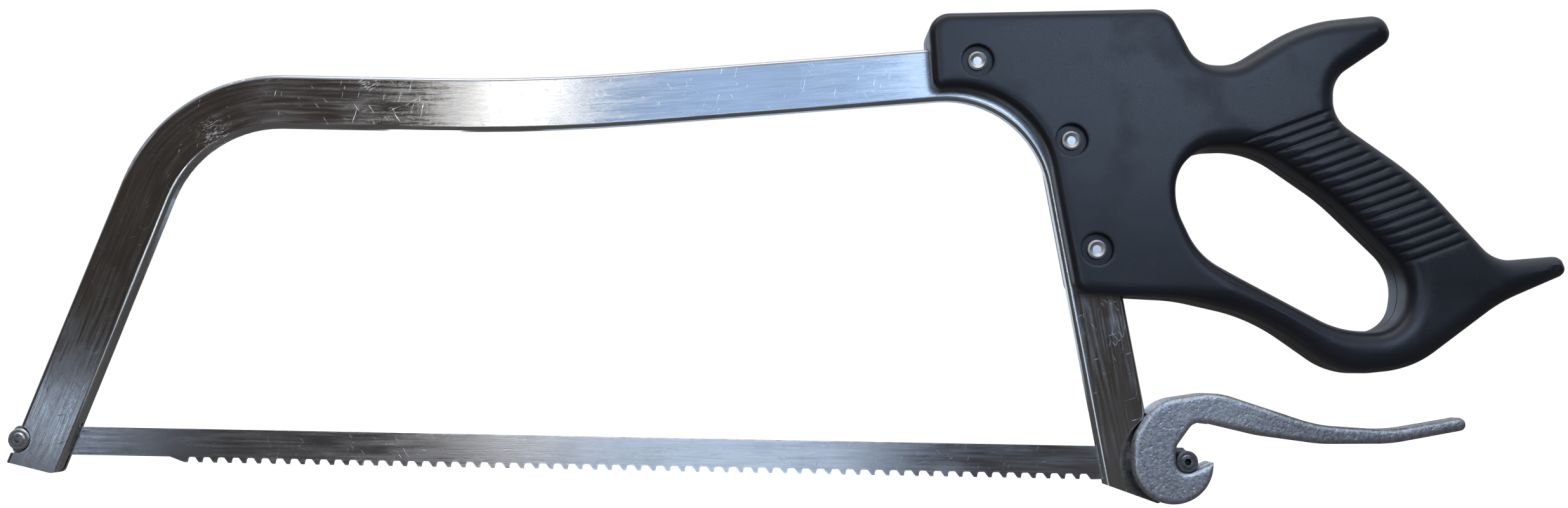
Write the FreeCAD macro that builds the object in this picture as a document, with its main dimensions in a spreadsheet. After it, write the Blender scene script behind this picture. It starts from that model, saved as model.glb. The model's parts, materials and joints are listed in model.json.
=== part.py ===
import FreeCAD, Part
import math
import os
import Sketcher

# Butcher's bow saw: a bent flat bar, a two-shell handle, a pinned blade and a cam lever that pulls it tight.
# Everything is laid out from the blade's front rivet: X runs back along the blade, Y across it, Z up.
# Lengths are millimetres and angles are degrees. The last section moves the saw onto its own origin.

Vector = FreeCAD.Vector
Placement = FreeCAD.Placement
Rotation = FreeCAD.Rotation
UPRIGHT = "XZ_Plane"
LEVEL = "XY_Plane"

DRIVING_SIZES = (
    # blade
    ("blade_span", 444.5),
    ("blade_thickness", 0.6),
    ("blade_above_rivet", 5.0),
    ("blade_below_rivet", 7.7),
    ("blade_front_margin", 4.0),
    ("blade_rear_margin", 6.0),
    ("tooth_pitch", 5.6),
    ("tooth_depth", 2.0),
    ("plain_front_length", 62.0),
    ("plain_rear_length", 34.0),
    # blade rivets and the collars on them
    ("rivet_diameter", 4.2),
    ("rivet_bore", 2.6),
    ("collar_diameter", 8.2),
    ("front_collar_reach", 4.0),
    ("rear_collar_reach", 6.4),
    ("rivet_head_height", 0.5),
    # bent bar
    ("bar_width", 20.6),
    ("bar_thickness", 6.35),
    ("bar_edge_round", 1.7),
    ("bow_height", 132.6),
    ("front_lean", 19.0),
    ("front_inset", 8.5),
    ("front_lip_drop", 8.7),
    ("front_cut_slope", -12.6),
    ("front_toe_round", 4.0),
    ("front_bend_radius", 53.0),
    ("crown_start", 153.0),
    ("crown_bend_radius", 800.0),
    ("crown_rise", 5.6),
    ("rear_bend_radius", 50.0),
    ("rear_lean", 10.8),
    ("rear_inset", 16.15),
    ("rear_heel_drop", 9.3),
    ("rear_cut_slope", -18.7),
    ("rear_toe_round", 1.5),
    ("slit_width", 1.2),
    ("slit_headroom", 1.5),
    ("notch_play", 1.15),
    ("seat_bevel_width", 4.2),
    ("seat_bevel_depth", 1.9),
    # lever
    ("lever_radius", 15.4),
    ("lever_thickness", 14.0),
    ("lever_tip_thickness", 8.0),
    ("lever_length", 112.6),
    ("cam_throw", 5.3),
    ("cam_lift", 0.8),
    ("hook_lip_angle", 24.0),
    # handle
    ("shell_thickness", 13.0),
    ("shell_edge_round", 3.0),
    ("bar_show_below", 3.0),
    ("bar_show_ahead", 1.4),
    ("screw_diameter", 3.5),
    ("sleeve_diameter", 5.0),
    ("fastener_head_diameter", 7.2),
    ("fastener_head_height", 1.6),
    ("counterbore_diameter", 12.0),
    ("counterbore_depth", 2.4),
    ("dowel_diameter", 4.0),
    ("dowel_length", 14.0),
    # fits
    ("running_clearance", 0.05),
    ("collar_clearance", 0.08),
    ("side_clearance", 0.3),
    ("bore_clearance", 0.1),
    ("end_clearance", 0.3),
)

doc = FreeCAD.newDocument("bow_saw")
sheet = doc.addObject("Spreadsheet::Sheet", "sizes")
for row, (alias, value) in enumerate(DRIVING_SIZES, start=1):
    sheet.set("A%d" % row, alias)
    sheet.set("B%d" % row, str(value))
    sheet.setAlias("B%d" % row, alias)
doc.recompute()

SIZE = {alias: float(sheet.get(alias)) for alias, value in DRIVING_SIZES}
sub_parts = []


# ---------------------------------------------------------------- shared helpers

def bind(target, path, formula):
    """Tie one property or constraint to the sheet; formula names the sheet's aliases."""
    words = formula.split(" ")
    target.setExpression(path, " ".join("sizes." + w if w in SIZE else w for w in words))


def new_body(label):
    body = doc.addObject("PartDesign::Body", label + "_body")
    body.Label = label
    sub_parts.append(body)
    return body


def new_sketch(body, name, role=UPRIGHT, offset=None):
    """A sketch on one of the body's own planes; on the upright one its axes are X and Z and it faces -Y."""
    sketch = body.newObject("Sketcher::SketchObject", body.Label + "_" + name)
    plane = next(f for f in body.Origin.OriginFeatures if f.Role == role)
    sketch.AttachmentSupport = (plane, [""])
    sketch.MapMode = "FlatFace"
    if offset is not None:
        sketch.AttachmentOffset = offset
    return sketch


def feature(body, kind, name, sketch, **settings):
    made = body.newObject("PartDesign::" + kind, body.Label + "_" + name)
    made.Profile = sketch
    for key, setting in settings.items():
        setattr(made, key, setting)
    return made


def pad(body, name, sketch, length, symmetric=True, reverse=False):
    made = feature(body, "Pad", name, sketch, Reversed=reverse)
    made.SideType = "Symmetric" if symmetric else "One side"
    bind(made, "Length", length)
    sketch.Visibility = False
    doc.recompute()
    return made


def pocket(body, name, sketch, length=None, symmetric=True, reverse=False):
    """Cut the sketch into the body, and make sure that it took material away."""
    before = body.Shape.Volume
    made = feature(body, "Pocket", name, sketch, Reversed=reverse)
    made.SideType = "Symmetric" if symmetric else "One side"
    if length is None:
        made.Type = "ThroughAll"
    else:
        bind(made, "Length", length)
    doc.recompute()
    if body.Shape.Volume >= before:
        raise ValueError(made.Name + " cuts nothing")
    return made


def at_y(distance):
    """Offset that carries an upright sketch to the plane at that Y."""
    return Placement(Vector(0, 0, -distance), Rotation())


def rounded_outline(corners):
    """Lines and tangent arcs round a closed run of (x, z, radius) corners; radius 0 leaves a sharp corner."""
    geometry = []
    starts = []
    ends = []
    arcs = []
    for index, (x, z, radius) in enumerate(corners):
        here = Vector(x, z, 0)
        back = Vector(corners[index - 1][0], corners[index - 1][1], 0).sub(here).normalize()
        ahead = corners[(index + 1) % len(corners)]
        onward = Vector(ahead[0], ahead[1], 0).sub(here).normalize()
        half_angle = back.getAngle(onward) / 2
        run = radius / math.tan(half_angle)
        inward = back.add(onward).normalize()
        middle = here.add(Vector(inward).multiply(radius / math.sin(half_angle) - radius))
        starts.append(here.add(back.multiply(run)))
        ends.append(here.add(onward.multiply(run)))
        arcs.append(middle if radius > 0 else None)
    for index, start in enumerate(starts):
        if arcs[index] is not None:
            geometry.append(Part.Arc(start, arcs[index], ends[index]))
        after = starts[(index + 1) % len(starts)]
        geometry.append(Part.LineSegment(ends[index], after))
    return geometry


def draw_outline(sketch, corners, shift=(0, 0)):
    moved = [(x + shift[0], z + shift[1], radius) for x, z, radius in corners]
    sketch.addGeometry(rounded_outline(moved), False)


def draw_circle(sketch, x, z, diameter):
    """A circle whose diameter is bound to the sheet."""
    index = sketch.addGeometry(Part.Circle(Vector(x, z, 0), Vector(0, 0, 1), 1.0), False)
    number = sketch.addConstraint(Sketcher.Constraint("Diameter", index, 2.0))
    bind(sketch, "Constraints[%d]" % number, diameter)


def turned(label, x, z, profile):
    """A piece turned about a line along Y through (x, z), from (radius, y) corners."""
    body = new_body(label)
    sketch = new_sketch(body, "profile", LEVEL, Placement(Vector(x, 0, z), Rotation()))
    draw_outline(sketch, [(radius, y, 0) for radius, y in profile])
    made = feature(body, "Revolution", "turning", sketch)
    made.ReferenceAxis = (sketch, ["V_Axis"])
    made.Angle = 360.0
    doc.recompute()
    return body


def edges_at_y(shape, y):
    """Names of the edges that lie in the plane at that Y."""
    names = []
    for index, edge in enumerate(shape.Edges, start=1):
        box = edge.BoundBox
        if abs(box.YMin - y) < 0.01 and abs(box.YMax - y) < 0.01:
            names.append("Edge%d" % index)
    return names


def round_edges(body, name, names, radius):
    base = body.Tip
    made = body.newObject("PartDesign::Fillet", body.Label + "_" + name)
    made.Base = (base, names)
    bind(made, "Radius", radius)
    doc.recompute()
    return made


# ---------------------------------------------------------------- places worked out from the sizes

def unit(degrees):
    return Vector(math.cos(math.radians(degrees)), math.sin(math.radians(degrees)), 0)


def crossing(point_a, along_a, point_b, along_b):
    """Where two lines in the plane of the saw meet."""
    gap = point_b.sub(point_a)
    turn = along_a.x * along_b.y - along_a.y * along_b.x
    reach = (gap.x * along_b.y - gap.y * along_b.x) / turn
    return point_a.add(Vector(along_a).multiply(reach))


half_bar = SIZE["bar_width"] / 2
half_thickness = SIZE["bar_thickness"] / 2
rear_rivet = Vector(SIZE["blade_span"], 0, 0)
pivot = rear_rivet.sub(Vector(SIZE["cam_throw"], SIZE["cam_lift"], 0))
seat_radius = SIZE["lever_radius"] + SIZE["running_clearance"]

# The bar's centre line is four straight runs; each is known by a point on it and its heading.
up_front_leg = unit(90 - SIZE["front_lean"])
along_top = unit(0)
along_rise = unit(SIZE["crown_rise"])
down_rear_leg = unit(SIZE["rear_lean"] - 90)
behind_rear_leg = unit(SIZE["rear_lean"])
above_rise = unit(90 + SIZE["crown_rise"])
front_point = unit(-SIZE["front_lean"]).multiply(SIZE["front_inset"])
top_point = Vector(0, SIZE["bow_height"], 0)
rear_point = pivot.sub(Vector(behind_rear_leg).multiply(SIZE["rear_inset"]))
crown_corner = Vector(
    SIZE["crown_start"] + SIZE["crown_bend_radius"] * math.tan(math.radians(SIZE["crown_rise"] / 2)),
    SIZE["bow_height"], 0)
front_corner = crossing(front_point, up_front_leg, top_point, along_top)
rear_corner = crossing(crown_corner, along_rise, rear_point, down_rear_leg)
raw_end_drop = SIZE["bar_width"] + SIZE["front_lip_drop"]
front_start = front_point.add(Vector(up_front_leg).multiply(-raw_end_drop))
rear_finish = rear_point.add(Vector(down_rear_leg).multiply(raw_end_drop))


def beside_rear_bend(offset):
    """The rear bend's corner, carried out by offset from the centre line on both runs."""
    spread = 1 + above_rise.dot(behind_rear_leg)
    return rear_corner.add(above_rise.add(behind_rear_leg).multiply(offset / spread))


def on_rise(x, offset):
    """A point at that x on the rising run's line, carried out by offset."""
    start = rear_corner.add(Vector(above_rise).multiply(offset))
    return start.add(Vector(along_rise).multiply((x - start.x) / along_rise.x))


def on_rear_leg(z, offset):
    """A point at that height on the rear leg's line, carried back by offset."""
    start = rear_corner.add(Vector(behind_rear_leg).multiply(offset))
    return start.add(Vector(down_rear_leg).multiply((z - start.y) / down_rear_leg.y))


rear_bend_turn = math.radians(90 + SIZE["crown_rise"] - SIZE["rear_lean"])
rear_bend_run = SIZE["rear_bend_radius"] * math.tan(rear_bend_turn / 2)
rear_bend_centre = rear_corner.sub(Vector(along_rise).multiply(rear_bend_run)).sub(
    Vector(above_rise).multiply(SIZE["rear_bend_radius"]))

# Three fasteners hold the handle: two round the rear bend, one down the rear leg.
FASTENER_1_AHEAD = 30.4
FASTENER_1_OFFSET = 2.2
FASTENER_2_ANGLE = 26.6
FASTENER_2_OFFSET = 1.8
FASTENER_3_DROP = 72.7
FASTENER_3_OFFSET = 1.6
fastener_places = (
    on_rise(rear_corner.x - FASTENER_1_AHEAD, FASTENER_1_OFFSET),
    rear_bend_centre.add(unit(FASTENER_2_ANGLE).multiply(SIZE["rear_bend_radius"] + FASTENER_2_OFFSET)),
    on_rear_leg(rear_corner.y - FASTENER_3_DROP, FASTENER_3_OFFSET),
)


# ---------------------------------------------------------------- bent bar

def draw_bar_path(sketch):
    """Four runs and three bends, tied to the sheet and to the two places the blade pulls on."""
    corners = (front_start, front_corner, crown_corner, rear_corner, rear_finish)
    radii = ("front_bend_radius", "crown_bend_radius", "rear_bend_radius")
    starts = [front_start]
    ends = []
    arcs = []
    for index, name in enumerate(radii, start=1):
        corner = corners[index]
        back = corners[index - 1].sub(corner).normalize()
        onward = corners[index + 1].sub(corner).normalize()
        half_angle = back.getAngle(onward) / 2
        run = SIZE[name] / math.tan(half_angle)
        inward = back.add(onward).normalize()
        middle = corner.add(inward.multiply(SIZE[name] / math.sin(half_angle) - SIZE[name]))
        bend_start = corner.add(back.multiply(run))
        bend_end = corner.add(onward.multiply(run))
        ends.append(bend_start)
        starts.append(bend_end)
        arcs.append(Part.Arc(bend_start, middle, bend_end))
    ends.append(rear_finish)
    runs = [sketch.addGeometry(Part.LineSegment(a, b), False) for a, b in zip(starts, ends)]
    bends = [sketch.addGeometry(arc, False) for arc in arcs]
    # An arc always runs counter-clockwise: only the crown bend does so from front to back.
    for index, (first, last) in enumerate(((2, 1), (1, 2), (2, 1))):
        sketch.addConstraint(Sketcher.Constraint("Tangent", runs[index], 2, bends[index], first))
        sketch.addConstraint(Sketcher.Constraint("Tangent", bends[index], last, runs[index + 1], 1))
    for bend, name in zip(bends, radii):
        number = sketch.addConstraint(Sketcher.Constraint("Radius", bend, SIZE[name]))
        bind(sketch, "Constraints[%d]" % number, name)
    sketch.addConstraint(Sketcher.Constraint("Horizontal", runs[1]))


frame = new_body("bow_frame")
path = new_sketch(frame, "path")
draw_bar_path(path)
section = new_sketch(frame, "section", LEVEL, Placement(
    Vector(front_start.x, 0, front_start.y), Rotation(Vector(0, 1, 0), SIZE["front_lean"])))
corner_round = SIZE["bar_edge_round"]
draw_outline(section, (
    (-half_bar, -half_thickness, corner_round),
    (-half_bar, half_thickness, corner_round),
    (half_bar, half_thickness, corner_round),
    (half_bar, -half_thickness, corner_round),
))
bent_bar = frame.newObject("PartDesign::AdditivePipe", "bow_frame_bent_bar")
bent_bar.Profile = section
bent_bar.Spine = (path, [])
doc.recompute()


def cut_end(name, start, slope, back_edge, along_back, corner_round):
    """Cut a leg off below a sloping line through start, rounding into the leg's back edge."""
    reach = 2 * SIZE["bar_width"]
    left = start.sub(unit(slope).multiply(reach))
    corner = crossing(start, unit(slope), back_edge, along_back)
    above = corner.add(Vector(along_back).multiply(reach))
    right_x = corner.x + reach
    floor = corner.y - reach
    end_cut = new_sketch(frame, name)
    draw_outline(end_cut, (
        (left.x, left.y, 0),
        (corner.x, corner.y, corner_round),
        (above.x, above.y, 0),
        (right_x, above.y, 0),
        (right_x, floor, 0),
        (left.x, floor, 0),
    ))
    pocket(frame, name + "_off", end_cut)


def on_front_leg(z, offset):
    """A point at that height on the front leg's line, carried back by offset."""
    start = front_point.add(unit(-SIZE["front_lean"]).multiply(offset))
    return start.add(Vector(up_front_leg).multiply((z - start.y) / up_front_leg.y))


# The cuts' upright sides stand just off the bar, so that only the ends are trimmed.
edge_gap = 0.05
front_lip = on_front_leg(-SIZE["front_lip_drop"], -half_bar)
cut_end("front_cut", front_lip, SIZE["front_cut_slope"],
        on_front_leg(0, half_bar + edge_gap), up_front_leg, SIZE["front_toe_round"])
rear_heel = on_rear_leg(-SIZE["rear_heel_drop"], -half_bar)
cut_end("rear_cut", rear_heel, SIZE["rear_cut_slope"],
        on_rear_leg(0, half_bar + edge_gap), Vector(down_rear_leg).multiply(-1), SIZE["rear_toe_round"])

# The round seat that the lever's head turns in, bevelled on both faces.
seat = new_sketch(frame, "seat")
draw_circle(seat, pivot.x, pivot.y, "2 * ( lever_radius + running_clearance )")
pocket(frame, "seat_bore", seat)
for side in (-1, 1):
    bevel = frame.newObject("PartDesign::SubtractiveCone", "bow_frame_seat_bevel_%d" % (side + 1))
    bevel.AttachmentSupport = (next(f for f in frame.Origin.OriginFeatures if f.Role == UPRIGHT), [""])
    bevel.MapMode = "FlatFace"
    tilt = Rotation(Vector(1, 0, 0), 180 if side < 0 else 0)
    bevel.AttachmentOffset = Placement(
        Vector(pivot.x, pivot.y, -side * (half_thickness + SIZE["end_clearance"])), tilt)
    slope = SIZE["seat_bevel_width"] / SIZE["seat_bevel_depth"]
    bevel.Radius1 = seat_radius + SIZE["seat_bevel_width"] + slope * SIZE["end_clearance"]
    bevel.Radius2 = seat_radius - slope * SIZE["end_clearance"]
    bevel.Height = SIZE["seat_bevel_depth"] + 2 * SIZE["end_clearance"]
    doc.recompute()

# Slits for the blade, open at the bottom so that it can drop out when slack.
slit_top = SIZE["blade_above_rivet"] + SIZE["slit_headroom"]
slit_floor = -2 * SIZE["bar_width"]
for name, left, right in (
    ("front", front_lip.x - SIZE["bar_width"], on_front_leg(slit_top, half_bar).x + half_bar),
    ("rear", rear_heel.x - half_bar, rear_rivet.x),
):
    slit = new_sketch(frame, name + "_slit")
    draw_outline(slit, (
        (left, slit_top, 0),
        (right, slit_top, 0),
        (right, slit_floor, 0),
        (left, slit_floor, 0),
    ))
    pocket(frame, name + "_slit_cut", slit, "slit_width")

# The front notch: the collars bear on its back and have play above and below. They need room at the back
# as well, because the lever pulls the blade a little further before it locks past its dead centre.
NEARLY_ROUND = 0.98
collar_radius = SIZE["collar_diameter"] / 2
notch_radius = collar_radius + SIZE["notch_play"]
past_centre = math.hypot(SIZE["cam_throw"], SIZE["cam_lift"]) - SIZE["cam_throw"]
notch_back = collar_radius + past_centre + SIZE["collar_clearance"]
notch = new_sketch(frame, "notch")
draw_outline(notch, (
    (-SIZE["bar_width"], notch_radius, 0),
    (notch_back, notch_radius, notch_radius * NEARLY_ROUND),
    (notch_back, -notch_radius, notch_radius * NEARLY_ROUND),
    (-SIZE["bar_width"], -notch_radius, 0),
))
pocket(frame, "notch_cut", notch)

fastener_holes = new_sketch(frame, "fastener_holes")
for place in fastener_places:
    draw_circle(fastener_holes, place.x, place.y, "sleeve_diameter + 2 * bore_clearance")
pocket(frame, "fastener_bores", fastener_holes)


# ---------------------------------------------------------------- blade, its rivets and collars

blade_top = SIZE["blade_above_rivet"]
blade_edge = -SIZE["blade_below_rivet"]
gullet_line = blade_edge + SIZE["tooth_depth"]
blade_front = -SIZE["blade_front_margin"]
blade_rear = rear_rivet.x + SIZE["blade_rear_margin"]
toothed_length = SIZE["blade_span"] - SIZE["plain_front_length"] - SIZE["plain_rear_length"]
tooth_count = int(toothed_length / SIZE["tooth_pitch"])

TAIL_CORNER = 0.5
blade_corner = SIZE["blade_front_margin"] * 0.6
blade = new_body("blade")
strip = new_sketch(blade, "strip")
draw_outline(strip, (
    (blade_front, blade_top, blade_corner),
    (blade_rear - SIZE["blade_rear_margin"], blade_top, TAIL_CORNER),
    (blade_rear, blade_top - SIZE["blade_rear_margin"], TAIL_CORNER),
    (blade_rear, gullet_line, TAIL_CORNER),
    (rear_rivet.x - SIZE["plain_rear_length"], blade_edge, 0),
    (SIZE["plain_front_length"], blade_edge, 0),
    (SIZE["plain_front_length"] - SIZE["tooth_pitch"], gullet_line, 0),
    (blade_front, gullet_line, blade_corner),
))
for place in (0, rear_rivet.x):
    draw_circle(strip, place, 0, "rivet_diameter")
pad(blade, "plate", strip, "blade_thickness")

# One hooked gullet, repeated along the toothed length: a flat tooth tip, a steep front and a sloping back.
TOOTH_LAND = 0.22
TOOTH_RAKE = 0.15
GULLET_END = 0.72
GULLET_ROUND = 0.4
gullet = new_sketch(blade, "gullet")
tooth_start = SIZE["plain_front_length"]
tooth_tip = tooth_start + TOOTH_LAND * SIZE["tooth_pitch"]
gullet_floor = tooth_tip + TOOTH_RAKE * SIZE["tooth_depth"]
gullet_end = tooth_start + GULLET_END * SIZE["tooth_pitch"]
next_tooth = tooth_start + SIZE["tooth_pitch"]
gullet_round = GULLET_ROUND * SIZE["tooth_depth"]
below_edge = blade_edge - SIZE["tooth_depth"]
draw_outline(gullet, (
    (tooth_tip, blade_edge, 0),
    (gullet_floor, gullet_line, gullet_round),
    (gullet_end, gullet_line, gullet_round),
    (next_tooth, blade_edge, 0),
    (next_tooth, below_edge, 0),
    (tooth_tip, below_edge, 0),
))
first_gullet = pocket(blade, "first_gullet", gullet)
teeth = blade.newObject("PartDesign::LinearPattern", "blade_teeth")
teeth.Originals = [first_gullet]
teeth.Direction = (gullet, ["H_Axis"])
teeth.Length = SIZE["tooth_pitch"] * (tooth_count - 1)
teeth.Occurrences = tooth_count
blade.Tip = teeth
doc.recompute()

blade_face = SIZE["blade_thickness"] / 2
for end, x, reach in (
    ("front", 0.0, SIZE["front_collar_reach"]),
    ("rear", rear_rivet.x, SIZE["rear_collar_reach"]),
):
    rivet_radius = SIZE["rivet_diameter"] / 2
    bore_radius = SIZE["rivet_bore"] / 2
    head_radius = rivet_radius + SIZE["rivet_head_height"]
    crown = reach + SIZE["rivet_head_height"]
    turned("blade_%s_rivet" % end, x, 0, (
        (bore_radius, -crown),
        (rivet_radius, -crown),
        (head_radius, -reach),
        (rivet_radius, -reach),
        (rivet_radius, reach),
        (head_radius, reach),
        (rivet_radius, crown),
        (bore_radius, crown),
    ))
    for side, name in ((-1, "near"), (1, "far")):
        chamfer = SIZE["rivet_head_height"]
        turned("blade_%s_collar_%s" % (end, name), x, 0, (
            (rivet_radius, side * blade_face),
            (collar_radius, side * blade_face),
            (collar_radius, side * (reach - chamfer)),
            (collar_radius - chamfer, side * reach),
            (rivet_radius, side * reach),
        ))


# ---------------------------------------------------------------- cam lever

lever_radius = SIZE["lever_radius"]
arm_end = SIZE["lever_length"]
lever = new_body("tension_lever")
disc = new_sketch(lever, "disc")
draw_circle(disc, pivot.x, pivot.y, "2 * lever_radius")
pad(lever, "head", disc, "lever_thickness")

# The arm leaves the head in a widening curve and sweeps back in a shallow S; measured from the pivot.
arm = new_sketch(lever, "arm")
draw_outline(arm, (
    (-lever_radius, -1.0, 0.5),
    (-lever_radius, 9.6, 13.0),
    (-6.0, 23.6, 17.0),
    (16.5, 27.4, 26.0),
    (arm_end - 57.0, 15.4, 60.0),
    (arm_end - 29.0, 14.1, 60.0),
    (arm_end, 19.7, 2.4),
    (arm_end, 14.6, 2.4),
    (arm_end - 29.0, 8.9, 60.0),
    (arm_end - 56.0, 8.3, 60.0),
    (35.0, 10.8, 40.0),
    (13.0, 15.6, 3.0),
    (0.0, 0.0, 0.5),
), (pivot.x, pivot.y))
pad(lever, "arm_pad", arm, "lever_thickness")

# The arm thins evenly towards its tip, on both sides.
thinning = new_sketch(lever, "thinning", LEVEL)
thin_start = pivot.x + lever_radius
thin_end = pivot.x + arm_end + lever_radius
half_lever = SIZE["lever_thickness"] / 2
half_tip = SIZE["lever_tip_thickness"] / 2
for side in (-1, 1):
    draw_outline(thinning, (
        (thin_start, side * half_lever, 0),
        (thin_end, side * half_tip, 0),
        (thin_end, side * (half_lever + half_tip), 0),
        (thin_start, side * (half_lever + half_tip), 0),
    ))
pocket(lever, "thinning_cut", thinning)

# The hook: a round seat for the collars, open to the back between the arm and a sloping lip.
hook = new_sketch(lever, "hook")
hook_radius = collar_radius + SIZE["collar_clearance"]
lip_along = unit(SIZE["hook_lip_angle"])
lip_point = Vector(SIZE["cam_throw"], SIZE["cam_lift"], 0).add(
    unit(SIZE["hook_lip_angle"] - 90).multiply(hook_radius))
wall_x = SIZE["cam_throw"] - hook_radius
lip_corner = crossing(lip_point, lip_along, Vector(wall_x, 0, 0), unit(90))
lip_far = crossing(lip_point, lip_along, Vector(lever_radius + 3.0, 0, 0), unit(90))
draw_outline(hook, (
    (lip_corner.x, lip_corner.y, hook_radius),
    (lip_far.x, lip_far.y, 0),
    (lip_far.x, 13.6, 0),
    (8.3, 16.2, 5.0),
    (wall_x, 6.3, 5.0),
), (pivot.x, pivot.y))
pocket(lever, "hook_cut", hook)

# Room for the bar between the lever's cheeks, outside the head's round bearing.
straddle = new_sketch(lever, "straddle")
behind_leg = half_bar + SIZE["side_clearance"]
over = 2 * SIZE["bar_width"]
leg_top = on_rear_leg(pivot.y + over, behind_leg)
leg_bottom = on_rear_leg(pivot.y - over, behind_leg)
chord = pivot.sub(on_rear_leg(pivot.y, behind_leg)).dot(behind_rear_leg)
chord_angle = math.degrees(math.acos(chord / lever_radius))
upper_meeting = pivot.add(unit(SIZE["rear_lean"] + 180 - chord_angle).multiply(lever_radius))
lower_meeting = pivot.add(unit(SIZE["rear_lean"] + 180 + chord_angle).multiply(lever_radius))
seat_side = pivot.sub(Vector(behind_rear_leg).multiply(lever_radius))
far_left = pivot.x - over
straddle.addGeometry([
    Part.Arc(upper_meeting, seat_side, lower_meeting),
    Part.LineSegment(lower_meeting, leg_bottom),
    Part.LineSegment(leg_bottom, Vector(far_left, leg_bottom.y, 0)),
    Part.LineSegment(Vector(far_left, leg_bottom.y, 0), Vector(far_left, leg_top.y, 0)),
    Part.LineSegment(Vector(far_left, leg_top.y, 0), leg_top),
    Part.LineSegment(leg_top, upper_meeting),
], False)
pocket(lever, "straddle_cut", straddle, "bar_thickness + 2 * side_clearance")

# The blade's slit through the head, wide enough for the blade's swing about its rivet.
sweep_radius = math.hypot(SIZE["blade_rear_margin"], SIZE["blade_below_rivet"]) + SIZE["slit_headroom"] / 2
slit_tail = new_sketch(lever, "slit_tail")
slit_tail.addGeometry(Part.Circle(Vector(rear_rivet.x, 0, 0), Vector(0, 0, 1), sweep_radius), False)
pocket(lever, "slit_tail_cut", slit_tail, "slit_width")
slit_band = new_sketch(lever, "slit_band")
draw_outline(slit_band, (
    (pivot.x - over, slit_top, 0),
    (rear_rivet.x, slit_top, 0),
    (pivot.x + over, 0, 0),
    (pivot.x + over, -over, 0),
    (pivot.x - over, -over, 0),
))
pocket(lever, "slit_band_cut", slit_band, "slit_width")


# ---------------------------------------------------------------- handle

# The shells leave a strip of the bar bare on its inner side: below the rising run and ahead of the rear leg.
WALL_BEND_EASE = 2.5
FOOT_BEFORE_CORNER = 47.2
HEEL_BELOW_CORNER = 89.3
wall_below = SIZE["bar_show_below"] - half_bar
wall_ahead = SIZE["bar_show_ahead"] - half_bar
wall_corner = crossing(on_rise(rear_corner.x, wall_below), along_rise,
                       on_rear_leg(rear_corner.y, wall_ahead), down_rear_leg).sub(rear_corner)
wall_bend_radius = SIZE["rear_bend_radius"] - half_bar - WALL_BEND_EASE
front_foot = on_rise(rear_corner.x - FOOT_BEFORE_CORNER, wall_below).sub(rear_corner)
heel = on_rear_leg(rear_corner.y - HEEL_BELOW_CORNER, wall_ahead).sub(rear_corner)

# Both outlines are measured from the corner where the bar's rise and its rear leg would meet.
HANDLE_CORNERS = (
    (-49.7, 17.7, 8.0),
    (43.2, 21.4, 10.0),
    (54.6, 0.3, 11.0),
    (68.5, 0.0, 19.0),
    (96.0, 17.6, 60.0),
    (127.5, 21.4, 6.5),
    (131.2, 11.8, 5.0),
    (108.0, -4.3, 13.0),
    (107.7, -19.8, 13.0),
    (139.5, -42.0, 110.0),
    (168.6, -74.0, 14.0),
    (193.6, -71.5, 3.4),
    (196.2, -78.3, 3.4),
    (170.5, -89.8, 60.0),
    (136.5, -115.6, 38.0),
    (110.5, -118.8, 28.0),
    (79.5, -97.5, 70.0),
    (49.3, -90.7, 60.0),
    (heel.x, heel.y, 5.5),
    (wall_corner.x, wall_corner.y, wall_bend_radius),
    (front_foot.x, front_foot.y, 3.6),
)
HAND_HOLE_CORNERS = (
    (46.0, -32.8, 17.0),
    (78.5, -31.4, 36.0),
    (107.0, -50.9, 80.0),
    (135.9, -78.7, 20.0),
    (132.3, -101.4, 13.0),
    (109.2, -101.9, 38.0),
    (54.7, -73.8, 27.0),
    (46.0, -56.0, 25.0),
)
DOWEL_PLACES = (
    ("upper", 76.5, -16.4),
    ("lower", 107.0, -109.4),
)

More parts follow.
